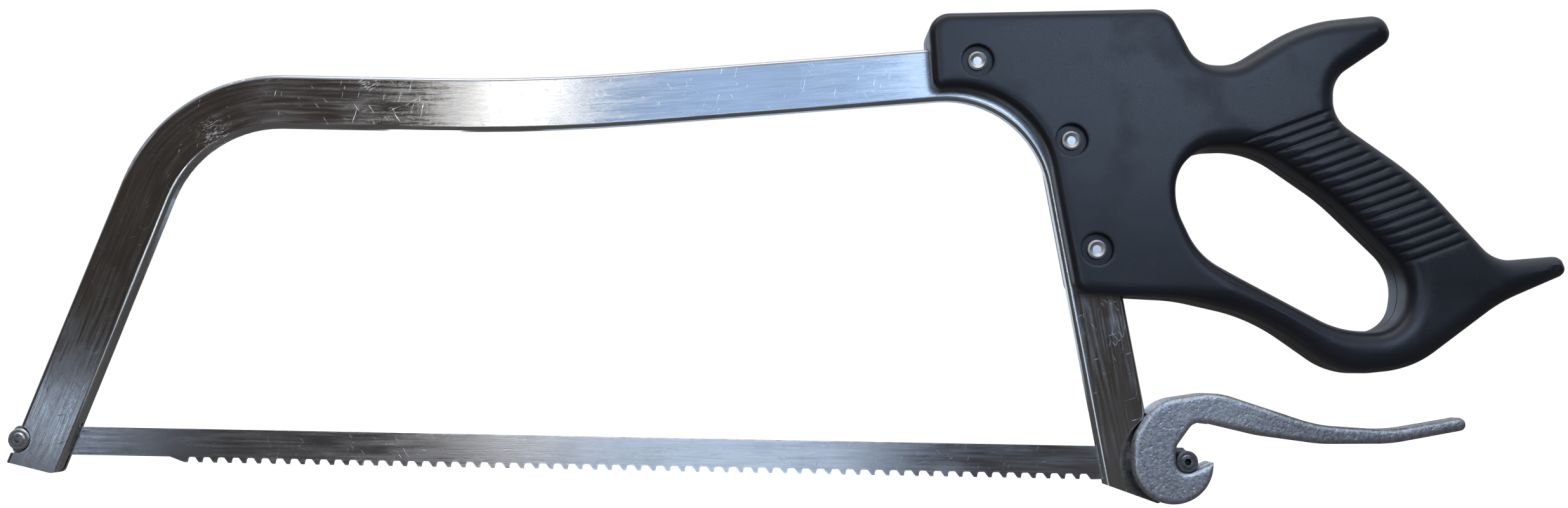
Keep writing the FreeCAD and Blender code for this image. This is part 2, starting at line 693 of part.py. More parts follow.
shell_face = SIZE["shell_thickness"]
head_seat = shell_face - SIZE["counterbore_depth"]
channel = half_bar + SIZE["bore_clearance"]
channel_front = on_rise(rear_bend_centre.x - 2 * SIZE["bar_width"], 0).x
channel_bottom = rear_bend_centre.y - 3 * SIZE["bar_width"] - SIZE["rear_bend_radius"]
for name, side in (("near", -1), ("far", 1)):
    shell = new_body("handle_shell_" + name)
    outline = new_sketch(shell, "outline")
    draw_outline(outline, HANDLE_CORNERS, (rear_corner.x, rear_corner.y))
    pad(shell, "block", outline, "shell_thickness", symmetric=False, reverse=side > 0)
    hand_hole = new_sketch(shell, "hand_hole")
    draw_outline(hand_hole, HAND_HOLE_CORNERS, (rear_corner.x, rear_corner.y))
    pocket(shell, "hand_hole_cut", hand_hole)
    round_edges(shell, "edge_round", edges_at_y(shell.Shape, side * shell_face), "shell_edge_round")
    # Half of the bar lies in each shell.
    bed = new_sketch(shell, "bar_bed")
    outer_bend = beside_rear_bend(channel)
    inner = beside_rear_bend(-channel)
    draw_outline(bed, (
        (channel_front, on_rise(channel_front, channel).y, 0),
        (outer_bend.x, outer_bend.y, SIZE["rear_bend_radius"] + channel),
        (on_rear_leg(channel_bottom, channel).x, channel_bottom, 0),
        (on_rear_leg(channel_bottom, -channel).x, channel_bottom, 0),
        (inner.x, inner.y, SIZE["rear_bend_radius"] - channel),
        (channel_front, on_rise(channel_front, -channel).y, 0),
    ))
    pocket(shell, "bar_bed_cut", bed, "bar_thickness + 2 * bore_clearance")
    through = new_sketch(shell, "fastener_holes")
    recesses = new_sketch(shell, "recesses", UPRIGHT, at_y(side * shell_face))
    for place in fastener_places:
        draw_circle(through, place.x, place.y, "sleeve_diameter + 2 * bore_clearance")
        draw_circle(recesses, place.x, place.y, "counterbore_diameter")
    pocket(shell, "fastener_bores", through)
    pocket(shell, "recess_cuts", recesses, "counterbore_depth", symmetric=False, reverse=side > 0)
    dowel_holes = new_sketch(shell, "dowel_holes")
    for dowel_name, x, z in DOWEL_PLACES:
        draw_circle(dowel_holes, rear_corner.x + x, rear_corner.y + z,
                    "dowel_diameter + 2 * running_clearance")
    pocket(shell, "dowel_bores", dowel_holes, "dowel_length + 2 * end_clearance")

DOWEL_LEAD = 0.25
dowel_radius = SIZE["dowel_diameter"] / 2
half_dowel = SIZE["dowel_length"] / 2
dowel_lead = DOWEL_LEAD * dowel_radius
for dowel_name, x, z in DOWEL_PLACES:
    turned("handle_dowel_" + dowel_name, rear_corner.x + x, rear_corner.y + z, (
        (0, -half_dowel),
        (dowel_radius - dowel_lead, -half_dowel),
        (dowel_radius, -half_dowel + dowel_lead),
        (dowel_radius, half_dowel - dowel_lead),
        (dowel_radius - dowel_lead, half_dowel),
        (0, half_dowel),
    ))

# Each screw runs into a headed sleeve nut; both heads are dished and sit in the shells' recesses.
DISH_FLOOR = 0.45
DISH_RIM = 0.8
head_radius = SIZE["fastener_head_diameter"] / 2
head_face = head_seat + SIZE["fastener_head_height"]
dish = SIZE["fastener_head_height"] / 2
screw_radius = SIZE["screw_diameter"] / 2
sleeve_radius = SIZE["sleeve_diameter"] / 2
sleeve_floor = head_seat - SIZE["counterbore_depth"]
for number, place in enumerate(fastener_places, start=1):
    turned("handle_screw_%d" % number, place.x, place.y, (
        (0, -head_face + dish),
        (head_radius * DISH_FLOOR, -head_face + dish),
        (head_radius * DISH_RIM, -head_face),
        (head_radius, -head_face + dish / 2),
        (head_radius, -head_seat),
        (screw_radius, -head_seat),
        (screw_radius, sleeve_floor - SIZE["end_clearance"]),
        (0, sleeve_floor - SIZE["end_clearance"]),
    ))
    turned("handle_sleeve_nut_%d" % number, place.x, place.y, (
        (0, head_face - dish),
        (head_radius * DISH_FLOOR, head_face - dish),
        (head_radius * DISH_RIM, head_face),
        (head_radius, head_face - dish / 2),
        (head_radius, head_seat),
        (sleeve_radius, head_seat),
        (sleeve_radius, -head_seat + SIZE["counterbore_depth"]),
        (screw_radius + SIZE["running_clearance"], -head_seat + SIZE["counterbore_depth"]),
        (screw_radius + SIZE["running_clearance"], sleeve_floor),
        (0, sleeve_floor),
    ))


# ---------------------------------------------------------------- origin, checks and export

# The origin is at the middle of the saw's bounding box, at its lowest height.
whole = FreeCAD.BoundBox()
for sub_part in sub_parts:
    whole.add(sub_part.Shape.optimalBoundingBox(False, False))
origin = Vector((whole.XMin + whole.XMax) / 2, (whole.YMin + whole.YMax) / 2, whole.ZMin)
for sub_part in sub_parts:
    sub_part.Placement = Placement(Vector(origin).multiply(-1), Rotation())
doc.recompute()

for item in doc.Objects:
    if "Invalid" in item.State or "Error" in item.State:
        raise ValueError(item.Name + " did not rebuild")
os.makedirs("parts", exist_ok=True)
for sub_part in sub_parts:
    if sub_part.Shape.isNull() or not sub_part.Shape.isValid() or len(sub_part.Shape.Solids) != 1:
        raise ValueError(sub_part.Label + " is not one sound solid")
for sub_part in sub_parts:
    sub_part.Shape.exportStep("parts/%s.step" % sub_part.Label)

print("moved by", -origin.x, -origin.y, -origin.z)
print("overall", whole.XLength, whole.YLength, whole.ZLength)
print("lever pivot", pivot.x - origin.x, pivot.y - origin.z)
print("rear rivet", rear_rivet.x - origin.x, -origin.z)
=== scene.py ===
import json
import math

import bmesh
import bpy
import numpy as np
from mathutils import Matrix, Vector, noise
from mathutils.geometry import delaunay_2d_cdt


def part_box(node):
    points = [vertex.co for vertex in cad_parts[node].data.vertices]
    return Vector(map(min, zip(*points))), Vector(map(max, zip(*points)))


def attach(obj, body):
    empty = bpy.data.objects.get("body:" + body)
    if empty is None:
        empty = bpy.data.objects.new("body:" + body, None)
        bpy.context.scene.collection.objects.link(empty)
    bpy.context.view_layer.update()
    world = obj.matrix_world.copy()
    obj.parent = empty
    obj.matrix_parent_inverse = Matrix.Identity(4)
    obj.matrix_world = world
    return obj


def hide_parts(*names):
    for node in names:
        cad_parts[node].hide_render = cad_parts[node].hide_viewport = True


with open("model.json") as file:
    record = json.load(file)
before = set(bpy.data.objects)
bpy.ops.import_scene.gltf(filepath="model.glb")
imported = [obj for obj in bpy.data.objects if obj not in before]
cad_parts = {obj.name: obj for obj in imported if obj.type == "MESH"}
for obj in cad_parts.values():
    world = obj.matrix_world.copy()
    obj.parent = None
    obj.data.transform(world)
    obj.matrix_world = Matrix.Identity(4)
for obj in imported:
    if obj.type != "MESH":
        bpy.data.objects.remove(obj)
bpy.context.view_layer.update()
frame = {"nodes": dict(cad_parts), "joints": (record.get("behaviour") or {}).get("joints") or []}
NODES = frame["nodes"]
MM = 0.001

# The saw's own places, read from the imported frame. X runs back along the blade, Z up, Y across.
JOINTS = {joint["name"]: Vector(joint["pos_m"]) for joint in frame["joints"]}
LEVER_PIVOT = JOINTS["lever_pivot"]


def middle(node):
    low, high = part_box(node)
    return (low + high) / 2


# ---------------------------------------------------------------- camera, floor and light

CAMERA_DISTANCE = 0.52
CAMERA_DROP = 0.045
CAMERA_ROLL = math.radians(1.085)
LENS = 30.85
FRONT_RIVET = middle("blade_front_rivet")
AIM = FRONT_RIVET + Vector((0.2901, 0, 0.0766))


def add_camera():
    """A view of the near side from a little below its middle, rolled so that the handle end sinks."""
    place = Vector((AIM.x, -CAMERA_DISTANCE, AIM.z - CAMERA_DROP))
    forward = (Vector((AIM.x, 0, AIM.z)) - place).normalized()
    right = Vector((1, 0, 0))
    up = right.cross(forward)
    across = right * math.cos(CAMERA_ROLL) + up * math.sin(CAMERA_ROLL)
    upward = up * math.cos(CAMERA_ROLL) - right * math.sin(CAMERA_ROLL)
    camera = bpy.data.objects.new("camera", bpy.data.cameras.new("camera"))
    camera.data.lens = LENS
    camera.data.clip_start = 0.01
    camera.matrix_world = Matrix((
        (across.x, upward.x, -forward.x, place.x),
        (across.y, upward.y, -forward.y, place.y),
        (across.z, upward.z, -forward.z, place.z),
        (0, 0, 0, 1),
    ))
    bpy.context.scene.collection.objects.link(camera)
    bpy.context.scene.camera = camera


def add_soft_light(name, place, aim, width, height, radiance, colour):
    """A card of light whose power follows from its area, so that it looks equally bright at any size."""
    data = bpy.data.lights.new(name, "AREA")
    data.shape = "RECTANGLE"
    data.size = width
    data.size_y = height
    data.energy = radiance * math.pi * width * height
    data.color = colour
    light = bpy.data.objects.new(name, data)
    light.location = place
    light.rotation_euler = (Vector(aim) - Vector(place)).to_track_quat("-Z", "Y").to_euler()
    light.visible_camera = False
    bpy.context.scene.collection.objects.link(light)


# ---------------------------------------------------------------- outlines and solids, in millimetres


ARC_STEP = 0.2        # the largest turn, in radians, of one piece of an arc
JOIN_LIMIT = 1e-5     # points nearer than this become one
NUDGE = 0.05          # a small step that shows which side of a loop is solid
DEPTH_SHARE = 0.94    # points that come out shallower than this share of their depth are dropped
CROWDING = 0.3        # points closer than this share of the spacing become one


def rounded(corners, shift=(0, 0), step=1.2, closed=True):
    """Points along an outline of (x, z, radius) corners: an arc at each corner, even steps on the runs."""
    places = [Vector((x + shift[0], z + shift[1])) for x, z, _ in corners]
    points = []
    for index, here in enumerate(places):
        radius = corners[index][2]
        at_end = not closed and index in (0, len(places) - 1)
        if radius <= 0 or at_end:
            points.append(here)
            continue
        back = (places[index - 1] - here).normalized()
        onward = (places[(index + 1) % len(places)] - here).normalized()
        half = back.angle(onward) / 2
        centre = here + (back + onward).normalized() * radius / math.sin(half)
        spoke = here + back * radius / math.tan(half) - centre
        turn = math.copysign(math.pi - 2 * half, back.x * -onward.y + back.y * onward.x)
        count = max(2, math.ceil(abs(turn) * radius / step), math.ceil(abs(turn) / ARC_STEP))
        points += [centre + Matrix.Rotation(turn * part / count, 2) @ spoke for part in range(count + 1)]
    return divided(points, step, closed)


def divided(points, step, closed=True):
    result = []
    for index, here in enumerate(points):
        result.append(here)
        if not closed and index == len(points) - 1:
            break
        run = points[(index + 1) % len(points)] - here
        count = max(1, round(run.length / step))
        result += [here + run * part / count for part in range(1, count)]
    return np.array([tuple(point) for point in result])


def circle(x, z, radius, count=48):
    turns = np.arange(count) * 2 * math.pi / count
    return np.stack([x + radius * np.cos(turns), z + radius * np.sin(turns)], 1)


def in_chunks(test, points, size=1500):
    return np.concatenate([test(points[start:start + size]) for start in range(0, len(points), size)])


def distance_to(points, loop):
    run = np.roll(loop, -1, axis=0) - loop
    length2 = np.maximum((run ** 2).sum(1), 1e-12)

    def part(some):
        gap = some[:, None, :] - loop[None]
        along = np.clip((gap * run).sum(2) / length2, 0, 1)
        return np.sqrt(((gap - along[:, :, None] * run) ** 2).sum(2)).min(1)
    return in_chunks(part, points)


def inside(points, loop):
    after = np.roll(loop, -1, axis=0)

    def part(some):
        x, z = some[:, :1], some[:, 1:]
        spans = (loop[:, 1] > z) != (after[:, 1] > z)
        rise = np.where(after[:, 1] == loop[:, 1], 1.0, after[:, 1] - loop[:, 1])
        reach = loop[:, 0] + (z - loop[:, 1]) * (after[:, 0] - loop[:, 0]) / rise
        return (spans & (x < reach)).sum(1) % 2 == 1
    return in_chunks(part, points)


def within(points, loops):
    """Inside the first loop and outside the others, which are holes."""
    kept = inside(points, loops[0])
    for hole in loops[1:]:
        kept &= ~inside(points, hole)
    return kept


def triangulated(loops, points, keep):
    """Triangles between the loops and the points, where keep() says that a triangle's middle is solid."""
    edges = []
    start = 0
    for loop in loops:
        edges += [(start + i, start + (i + 1) % len(loop)) for i in range(len(loop))]
        start += len(loop)
    every = np.concatenate(list(loops) + [points]) if len(points) else np.concatenate(loops)
    flat = [Vector(point) for point in every]
    verts, _, faces, sources, _, _ = delaunay_2d_cdt(flat, edges, [], 0, JOIN_LIMIT)
    places = np.array([tuple(vert) for vert in verts])
    faces = np.array(faces)
    kept = faces[keep(places[faces].mean(1))]
    return places, kept, sources


def joined_outline(loops, keep, least=0.25):
    """The outer loop of several overlapping outlines, with points that nearly touch left out."""
    places, faces, _ = triangulated(loops, [], keep)
    onward = {}
    sides = {(int(f[i]), int(f[(i + 1) % 3])) for f in faces for i in range(3)}
    for a, b in sides:
        if (b, a) not in sides:
            onward[a] = b
    best = []
    while onward:
        here, after = onward.popitem()
        loop = [here]
        while after in onward:
            loop.append(after)
            after = onward.pop(after)
        best = max(best, loop, key=len)
    thinned = [places[best[0]]]
    for index in best[1:]:
        if np.linalg.norm(places[index] - thinned[-1]) > least:
            thinned.append(places[index])
    return np.array(thinned)


def contour_points(loops, depths, spacing):
    """Points at set depths inside each loop, so that a rounded edge comes out even."""
    found = []
    for loop in loops:
        run = np.roll(loop, -1, axis=0) - np.roll(loop, 1, axis=0)
        run /= np.maximum(np.linalg.norm(run, axis=1), 1e-9)[:, None]
        normal = np.stack([-run[:, 1], run[:, 0]], 1)
        if not within(loop[:1] + NUDGE * normal[:1], loops)[0]:
            normal = -normal
        for depth in depths:
            found.append((loop + depth * normal, depth))
    kept = []
    for points, depth in found:
        away = np.minimum.reduce([distance_to(points, loop) for loop in loops])
        kept.append(points[within(points, loops) & (away > DEPTH_SHARE * depth)])
    points = np.concatenate(kept)
    cells = np.round(points / (CROWDING * spacing)).astype(int)
    _, first = np.unique(cells, axis=0, return_index=True)
    return points[np.sort(first)]


def honeycomb(loops, spacing, margin):
    low = loops[0].min(0)
    high = loops[0].max(0)
    rows = np.arange(low[1], high[1], spacing * math.sqrt(3) / 2)
    points = np.array([(x + (row % 2) * spacing / 2, z) for row, z in enumerate(rows)
                       for x in np.arange(low[0], high[0], spacing)])
    points = points[within(points, loops)]
    away = np.minimum.reduce([distance_to(points, loop) for loop in loops])
    return points[away > margin]


class Solid:
    """A closed mesh put together from faces given in the saw's own millimetres: x back, y across, z up."""

    def __init__(self):
        self.mesh = bmesh.new()

    def verts(self, flat, across):
        return [self.mesh.verts.new(((FRONT_RIVET.x + x * MM), y * MM, FRONT_RIVET.z + z * MM))
                for (x, z), y in zip(flat, across)]

    def faces(self, verts, triangles):
        for triangle in triangles:
            self.mesh.faces.new([verts[index] for index in triangle])

    def wall(self, upper, lower):
        for index in range(len(upper)):
            after = (index + 1) % len(upper)
            self.mesh.faces.new((upper[index], upper[after], lower[after], lower[index]))

    def finish(self, name, sharp=35):
        loose = [vert for vert in self.mesh.verts if not vert.link_faces]
        bmesh.ops.delete(self.mesh, geom=loose, context="VERTS")
        bmesh.ops.recalc_face_normals(self.mesh, faces=self.mesh.faces)
        data = bpy.data.meshes.new(name)
        self.mesh.to_mesh(data)
        self.mesh.free()
        return as_object(name, data, sharp)


def as_object(name, data, sharp=35):
    data.polygons.foreach_set("use_smooth", [True] * len(data.polygons))
    data.set_sharp_from_angle(angle=math.radians(sharp))
    piece = bpy.data.objects.new(name, data)
    bpy.context.scene.collection.objects.link(piece)
    return piece


def prism(outline, low, high):
    """A straight-sided block on an outline, for cutting with."""
    block = Solid()
    near = block.verts(outline, [low] * len(outline))
    far = block.verts(outline, [high] * len(outline))
    block.mesh.faces.new(near)
    block.mesh.faces.new(far)
    block.wall(near, far)
    return block.finish("cutter")


def cut(piece, cutters):
    """Takes each cutter out of the piece and throws the cutter away."""
    for cutter in cutters:
        step = piece.modifiers.new("cut", "BOOLEAN")
        step.operation = "DIFFERENCE"
        step.solver = "EXACT"
        step.object = cutter
        bpy.context.view_layer.update()
        ready = piece.evaluated_get(bpy.context.evaluated_depsgraph_get())
        data = bpy.data.meshes.new_from_object(ready)
        piece.modifiers.remove(step)
        old = piece.data
        piece.data = data
        bpy.data.meshes.remove(old)
        bpy.data.objects.remove(cutter)
    piece.data.name = piece.name
    piece.data.polygons.foreach_set("use_smooth", [True] * len(piece.data.polygons))
    piece.data.set_sharp_from_angle(angle=math.radians(35))


def mirrored(piece, name):
    """A copy of the piece on the other side of the saw's middle plane."""
    data = piece.data.copy()
    data.name = name
    data.transform(Matrix.Diagonal((1, -1, 1, 1)))
    data.flip_normals()
    return as_object(name, data)


def eased(value, start, end):
    part = np.clip((value - start) / (end - start), 0, 1)
    return part * part * (3 - 2 * part)


def rounded_face(depth, face, radius):
    """Height of a face with rounded edges, at a depth inward from its outline."""
    short = np.clip(radius - depth, 0, radius)
    return face - radius + np.sqrt(radius ** 2 - short ** 2)


# ---------------------------------------------------------------- the bar's path

BAR_WIDTH = 20.6
BAR_THICKNESS = 6.35
FRONT_CORNER = Vector((54.43, 132.6))
CROWN_CORNER = Vector((192.13, 132.6))
REAR_CORNER = Vector((393.544, 152.349))
FRONT_BEND_RADIUS = 53.0
CROWN_BEND_RADIUS = 800.0
REAR_BEND_RADIUS = 50.0
LEG_LENGTH = 175.0
REAR_LEAN = 10.8
FRONT_LEAN = 19.0
MAP_UNIT = 100


def slanted(degrees):
    return Vector((math.cos(math.radians(degrees)), math.sin(math.radians(degrees))))


DOWN_FRONT = slanted(-90 - FRONT_LEAN)
DOWN_REAR = slanted(REAR_LEAN - 90)
BEHIND_REAR = slanted(REAR_LEAN)
BAR_CORNERS = [
    (*(FRONT_CORNER + DOWN_FRONT * LEG_LENGTH), 0),
    (*FRONT_CORNER, FRONT_BEND_RADIUS),
    (*CROWN_CORNER, CROWN_BEND_RADIUS),
    (*REAR_CORNER, REAR_BEND_RADIUS),
    (*(REAR_CORNER + DOWN_REAR * LEG_LENGTH), 0),
]
BAR_PATH = rounded(BAR_CORNERS, closed=False, step=2.0)


def strip(path, width):
    """The outline of a band of the given width along a path."""
    run = np.gradient(path, axis=0)
    run /= np.linalg.norm(run, axis=1)[:, None]
    side = np.stack([-run[:, 1], run[:, 0]], 1) * width / 2
    return np.concatenate([path + side, (path - side)[::-1]])


def lay_along_bar(data):
    """Gives a mesh of the bar a map along its length, in units of MAP_UNIT, for the brushing to follow."""
    run = BAR_PATH[1:] - BAR_PATH[:-1]
    length = np.linalg.norm(run, axis=1)
    unit = run / length[:, None]
    before = np.concatenate([[0], np.cumsum(length)[:-1]])
    count = len(data.vertices)
    places = np.empty(count * 3)
    data.vertices.foreach_get("co", places)
    places = places.reshape(-1, 3)
    flat = np.stack([(places[:, 0] - FRONT_RIVET.x) / MM, (places[:, 2] - FRONT_RIVET.z) / MM], 1)
    gap = flat[:, None, :] - BAR_PATH[None, :-1]
    along = np.clip((gap * unit).sum(2), 0, length)
    away = gap - along[:, :, None] * unit
    best = np.sqrt((away ** 2).sum(2)).argmin(1)
    pick = np.arange(count)
    across = gap[pick, best, 1] * unit[best, 0] - gap[pick, best, 0] * unit[best, 1]
    reach = np.stack([(before[best] + along[pick, best]) / MAP_UNIT,
                      (across + places[:, 1] / MM) / MAP_UNIT], 1)
    layer = data.uv_layers.new(name="along_bar")
    corners = np.empty(len(data.loops), dtype=np.int32)
    data.loops.foreach_get("vertex_index", corners)
    layer.data.foreach_set("uv", reach[corners].ravel())


# ---------------------------------------------------------------- finishes


class Net:
    """Adds nodes to a shader tree; an input may be a value or another node's output."""

    def __init__(self, tree):
        self.tree = tree

    def add(self, kind, inputs=None, out=0, **settings):
        node = self.tree.nodes.new("ShaderNode" + kind)
        for setting, value in settings.items():
            setattr(node, setting, value)
        for socket, value in (inputs or {}).items():
            self.feed(node, socket, value)
        return node.outputs[out]

    def feed(self, node, socket, value):
        if isinstance(value, bpy.types.NodeSocket):
            self.tree.links.new(value, node.inputs[socket])
        else:
            node.inputs[socket].default_value = value

    def math(self, operation, first, second=0.0, clamp=False):
        return self.add("Math", {0: first, 1: second}, operation=operation, use_clamp=clamp)

    def stretch(self, vector, along, across):
        """The same places, scaled by different amounts along X, Y and Z."""
        return self.add("VectorMath", {0: vector, 1: (along, across, across)}, operation="MULTIPLY")

    def noise(self, vector, scale, detail=3.0, rough=0.55):
        return self.add("TexNoise", {"Vector": vector, "Scale": scale, "Detail": detail, "Roughness": rough})

    def between(self, value, low, high, new_low=0.0, new_high=1.0):
        return self.add("MapRange", {"Value": value, "From Min": low, "From Max": high,
                                     "To Min": new_low, "To Max": new_high})

    def blend(self, part, first, second):
        return self.add("Mix", {0: part, 6: first, 7: second}, out=2, data_type="RGBA")

    def bump(self, height, strength, distance, normal=None):
        inputs = {"Height": height, "Strength": strength, "Distance": distance}
        if normal is not None:
            inputs["Normal"] = normal
        return self.add("Bump", inputs)


def shared_effect(name, inputs, outputs, build):
    """A node group with named inputs and outputs; build(net, inputs) returns its output sockets in order."""
    tree = bpy.data.node_groups.new(name, "ShaderNodeTree")
    for title, kind, value in inputs:
        socket = tree.interface.new_socket(title, in_out="INPUT", socket_type="NodeSocket" + kind)
        if value is not None:
            socket.default_value = value
    for title, kind in outputs:
        tree.interface.new_socket(title, in_out="OUTPUT", socket_type="NodeSocket" + kind)
    entry = tree.nodes.new("NodeGroupInput")
    leave = tree.nodes.new("NodeGroupOutput")
    net = Net(tree)
    results = build(net, {title: entry.outputs[title] for title, _, _ in inputs})
    for (title, _), result in zip(outputs, results):
        tree.links.new(result, leave.inputs[title])
    return tree


def build_brushing(net, ports):
    """Long fine scratches along X of the given places: a fine and a broad set, and a height for the bump."""
    fine_place = net.add("VectorMath", {0: ports["Place"], 1: (1.0, 60.0, 60.0)}, operation="MULTIPLY")
    broad_place = net.add("VectorMath", {0: ports["Place"], 1: (0.7, 14.0, 14.0)}, operation="MULTIPLY")
    fine = net.noise(fine_place, ports["Scale"], 4.0, 0.65)
    broad = net.noise(broad_place, ports["Scale"], 2.0)
    both = net.math("ADD", net.math("MULTIPLY", fine, 0.65), net.math("MULTIPLY", broad, 0.35))
    return net.between(both, 0.3, 0.7), net.between(broad, 0.35, 0.65)


def build_edge_wear(net, ports):
    """Where the surface turns a corner within the given radius, broken up by a grain."""
    turned = net.add("Bevel", {"Radius": ports["Radius"]}, samples=6)
    flat = net.add("NewGeometry", out="Normal")
    facing = net.add("VectorMath", {0: turned, 1: flat}, out="Value", operation="DOT_PRODUCT")
    corner = net.between(facing, 0.995, 0.86)
    grain = net.between(net.noise(ports["Place"], ports["Grain"], 4.0), 0.35, 0.62)
    return (net.math("MULTIPLY", corner, grain, True),)


def build_scuffs(net, ports):
    """Sparse short scratches in two directions, and soft rubbed patches."""
    lines = None
    for turn, offset in ((0.35, 0.0), (-0.9, 7.3), (1.35, 13.1)):
        spun = net.add("VectorRotate", {"Vector": ports["Place"], "Angle": turn, "Axis": (0.0, 1.0, 0.0)})
        moved = net.add("VectorMath", {0: spun, 1: (offset, offset, offset)}, operation="ADD")
        drawn = net.add("VectorMath", {0: moved, 1: (1.0, 11.0, 11.0)}, operation="MULTIPLY")
        line = net.between(net.noise(drawn, ports["Scale"], 2.0, 0.5), ports["Sparse"], 0.8)
        lines = line if lines is None else net.math("MAXIMUM", lines, line)
    broad = net.math("MULTIPLY", ports["Scale"], 0.35)
    patches = net.between(net.noise(ports["Place"], broad, 3.0), 0.52, 0.72)
    return lines, patches


def build_painted_corner_shade(net, ports):
    """Painted shade: a mask that darkens corners and recesses by ambient occlusion, made patchy along them by
    a grain.
    """
    shade = net.add("AmbientOcclusion", {"Distance": ports["Reach"]}, out="AO", samples=6)
    corner = net.between(shade, 0.75, 0.25)
    patchy = net.between(net.noise(ports["Place"], ports["Grain"], 3.0), 0.3, 0.6)
    return (net.math("MULTIPLY", corner, patchy, True),)


BRUSHING = shared_effect(
    "brushing", [("Place", "Vector", None), ("Scale", "Float", 40.0)],
    [("Streaks", "Float"), ("Bands", "Float")], build_brushing)
EDGE_WEAR = shared_effect(
    "edge_wear", [("Place", "Vector", None), ("Radius", "Float", 0.001), ("Grain", "Float", 300.0)],
    [("Wear", "Float")], build_edge_wear)
SCUFFS = shared_effect(
    "scuffs", [("Place", "Vector", None), ("Scale", "Float", 60.0), ("Sparse", "Float", 0.66)],
    [("Scratches", "Float"), ("Rubbed", "Float")], build_scuffs)
# Painted shade in corners and recesses, shared by the finishes below.
PAINTED_CORNER_SHADE = shared_effect(
    "painted_corner_shade", [("Place", "Vector", None), ("Reach", "Float", 0.004), ("Grain", "Float", 200.0)],
    [("PaintedShade", "Float")], build_painted_corner_shade)


class Finish(Net):
    """A material: its tree, its Principled shader and the places that its patterns are laid out by."""

    def __init__(self, name, map_name=None, **plain):
        self.material = bpy.data.materials.new(name)
        self.material.use_nodes = True
        super().__init__(self.material.node_tree)
        self.shader = self.tree.nodes["Principled BSDF"]
        self.place = self.add("TexCoord", out="Object")
        self.along = self.add("UVMap", uv_map=map_name) if map_name else self.place
        for socket, value in plain.items():
            self.shader.inputs[socket.replace("_", " ")].default_value = value

    def effect(self, group, place=None, **values):
        node = self.tree.nodes.new("ShaderNodeGroup")
        node.node_tree = group
        self.tree.links.new(place or self.place, node.inputs["Place"])
        for socket, value in values.items():
            node.inputs[socket].default_value = value
        return node.outputs

    def set(self, **sockets):
        for socket, value in sockets.items():
            self.feed(self.shader, socket.replace("_", " "), value)
        return self.material


def rgb(red, green, blue):
    return (red, green, blue, 1.0)


def rubbed_mark(finish, x, z, radius):
    """Crossed scratches where something has rubbed, within a radius (mm) of one place."""
    centre = FRONT_RIVET + Vector((x * MM, 0, z * MM))
    flat = finish.add("VectorMath", {0: finish.place, 1: (1.0, 0.0, 1.0)}, operation="MULTIPLY")
    away = finish.add("VectorMath", {0: flat, 1: (centre.x, 0.0, centre.z)},
                      out="Value", operation="DISTANCE")
    near = finish.between(away, radius * MM, 0.3 * radius * MM)
    leant = finish.add("VectorRotate", {"Vector": finish.place, "Angle": 0.5, "Axis": (0.0, 1.0, 0.0)})
    drawn = finish.add("VectorMath", {0: leant, 1: (1.0, 1.0, 4.0)}, operation="MULTIPLY")
    scratch = finish.between(finish.noise(drawn, 520.0, 3.0, 0.7), 0.53, 0.6)
    return finish.math("MULTIPLY", near, scratch, True)


def metal_finish(name, light, dark, rough, worn, map_name=None, streak_scale=40.0, streak_depth=0.25,
                 shade_reach=0.004, stain=0.25, rubs=()):
    """Brushed metal: streaks, soft stains, bright worn edges, rubbed marks and painted shade in corners."""
    finish = Finish(name, map_name, Metallic=1.0)
    brushed = finish.effect(BRUSHING, finish.along, Scale=streak_scale)
    scuffed = finish.effect(SCUFFS, Scale=150.0, Sparse=0.70)
    wear = finish.effect(EDGE_WEAR, Radius=0.0012, Grain=400.0)["Wear"]
    painted_shade = finish.effect(PAINTED_CORNER_SHADE, Reach=shade_reach, Grain=150.0)["PaintedShade"]
    stains = finish.between(finish.noise(finish.place, 22.0, 4.0), 0.45, 0.75, 0.0, stain)
    colour = finish.blend(brushed["Streaks"], rgb(*dark), rgb(*light))
    colour = finish.blend(stains, colour, rgb(*(0.55 * part for part in dark)))
    colour = finish.blend(finish.math("MULTIPLY", scuffed["Scratches"], 0.5), colour, rgb(*worn))
    # Painted shade: near-black blended in where corners and recesses are occluded.
    colour = finish.blend(finish.math("MULTIPLY", painted_shade, 0.8), colour, rgb(0.02, 0.02, 0.022))
    colour = finish.blend(wear, colour, rgb(*worn))
    gloss = finish.between(brushed["Bands"], 0.0, 1.0, rough - 0.06, rough + 0.06)
    for x, z, radius in rubs:
        mark = rubbed_mark(finish, x, z, radius)
        colour = finish.blend(mark, colour, rgb(0.86, 0.85, 0.83))
        gloss = finish.math("ADD", gloss, finish.math("MULTIPLY", mark, 0.35), True)
    gloss = finish.math("ADD", gloss, finish.math("MULTIPLY", scuffed["Rubbed"], 0.06))
    gloss = finish.math("ADD", gloss, finish.math("MULTIPLY", painted_shade, 0.3), True)
    height = finish.math("SUBTRACT", brushed["Streaks"], finish.math("MULTIPLY", scuffed["Scratches"], 1.5))
    return finish.set(Base_Color=colour, Roughness=gloss, Normal=finish.bump(height, streak_depth, 0.00005))


